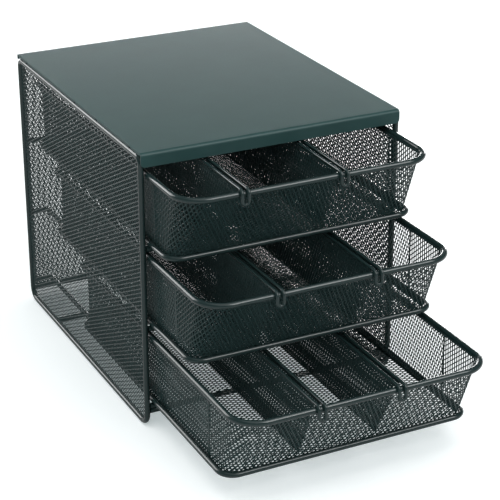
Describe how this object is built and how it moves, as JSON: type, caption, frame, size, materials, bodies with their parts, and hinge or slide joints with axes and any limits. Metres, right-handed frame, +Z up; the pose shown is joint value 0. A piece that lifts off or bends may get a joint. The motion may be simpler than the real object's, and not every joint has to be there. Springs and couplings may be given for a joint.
{
  "type": "desktop mini drawers",
  "caption": "Wire and expanded mesh desktop case with a sheet steel top and stacked pull-out trays, each split by sliding dividers.",
  "frame": {"origin": "on the table, under the centre of the top panel", "axes": "+Z up, +Y to the back of the case, +X to the right seen from the front, where the trays pull out along -Y"},
  "size_m": [0.2022, 0.3894, 0.21],
  "materials": {
    "sheet_panel": "satin powder coat",
    "wire": "satin powder coat",
    "mesh": "satin powder coat"
  },
  "bodies": {
    "case": {"top_panel": "sheet_panel", "left_side_frame": "wire", "left_side_mesh": "mesh", "right_side_frame": "wire", "right_side_mesh": "mesh", "back_mesh": "mesh", "front_cross_wire": "wire", "centre_cross_wire": "wire", "back_cross_wire": "wire", "lower_left_runner": "wire", "lower_right_runner": "wire", "middle_left_runner": "wire", "middle_right_runner": "wire", "upper_left_runner": "wire", "upper_right_runner": "wire"},
    "lower_drawer": {"lower_drawer_rim_wire": "wire", "lower_drawer_base_wire": "wire", "lower_drawer_front_mesh": "mesh", "lower_drawer_left_mesh": "mesh", "lower_drawer_right_mesh": "mesh", "lower_drawer_back_mesh": "mesh", "lower_drawer_floor_mesh": "mesh"},
    "lower_left_divider": {"lower_left_divider_frame": "wire", "lower_left_divider_mesh": "mesh"},
    "lower_right_divider": {"lower_right_divider_frame": "wire", "lower_right_divider_mesh": "mesh"},
    "middle_drawer": {"middle_drawer_rim_wire": "wire", "middle_drawer_base_wire": "wire", "middle_drawer_front_mesh": "mesh", "middle_drawer_left_mesh": "mesh", "middle_drawer_right_mesh": "mesh", "middle_drawer_back_mesh": "mesh", "middle_drawer_floor_mesh": "mesh"},
    "middle_left_divider": {"middle_left_divider_frame": "wire", "middle_left_divider_mesh": "mesh"},
    "middle_right_divider": {"middle_right_divider_frame": "wire", "middle_right_divider_mesh": "mesh"},
    "upper_drawer": {"upper_drawer_rim_wire": "wire", "upper_drawer_base_wire": "wire", "upper_drawer_front_mesh": "mesh", "upper_drawer_left_mesh": "mesh", "upper_drawer_right_mesh": "mesh", "upper_drawer_back_mesh": "mesh", "upper_drawer_floor_mesh": "mesh"},
    "upper_left_divider": {"upper_left_divider_frame": "wire", "upper_left_divider_mesh": "mesh"},
    "upper_right_divider": {"upper_right_divider_frame": "wire", "upper_right_divider_mesh": "mesh"}
  },
  "joints": [
    {"name": "lower_drawer_slide", "type": "slide", "parent": "case", "child": "lower_drawer", "axis": [0, -1, 0], "range_m": [-0.092, 0.073]},
    {"name": "lower_left_divider_slide", "type": "slide", "parent": "lower_drawer", "child": "lower_left_divider", "axis": [1, 0, 0], "range_m": [-0.0245, 0.0275]},
    {"name": "lower_right_divider_slide", "type": "slide", "parent": "lower_drawer", "child": "lower_right_divider", "axis": [1, 0, 0], "range_m": [-0.0125, 0.0395]},
    {"name": "middle_drawer_slide", "type": "slide", "parent": "case", "child": "middle_drawer", "axis": [0, -1, 0], "range_m": [-0.042, 0.123]},
    {"name": "middle_left_divider_slide", "type": "slide", "parent": "middle_drawer", "child": "middle_left_divider", "axis": [1, 0, 0], "range_m": [-0.0195, 0.0325]},
    {"name": "middle_right_divider_slide", "type": "slide", "parent": "middle_drawer", "child": "middle_right_divider", "axis": [1, 0, 0], "range_m": [-0.0215, 0.0305]},
    {"name": "upper_drawer_slide", "type": "slide", "parent": "case", "child": "upper_drawer", "axis": [0, -1, 0], "range_m": [-0.009, 0.156]},
    {"name": "upper_left_divider_slide", "type": "slide", "parent": "upper_drawer", "child": "upper_left_divider", "axis": [1, 0, 0], "range_m": [-0.0105, 0.0415]},
    {"name": "upper_right_divider_slide", "type": "slide", "parent": "upper_drawer", "child": "upper_right_divider", "axis": [1, 0, 0], "range_m": [-0.0125, 0.0395]}
  ]
}
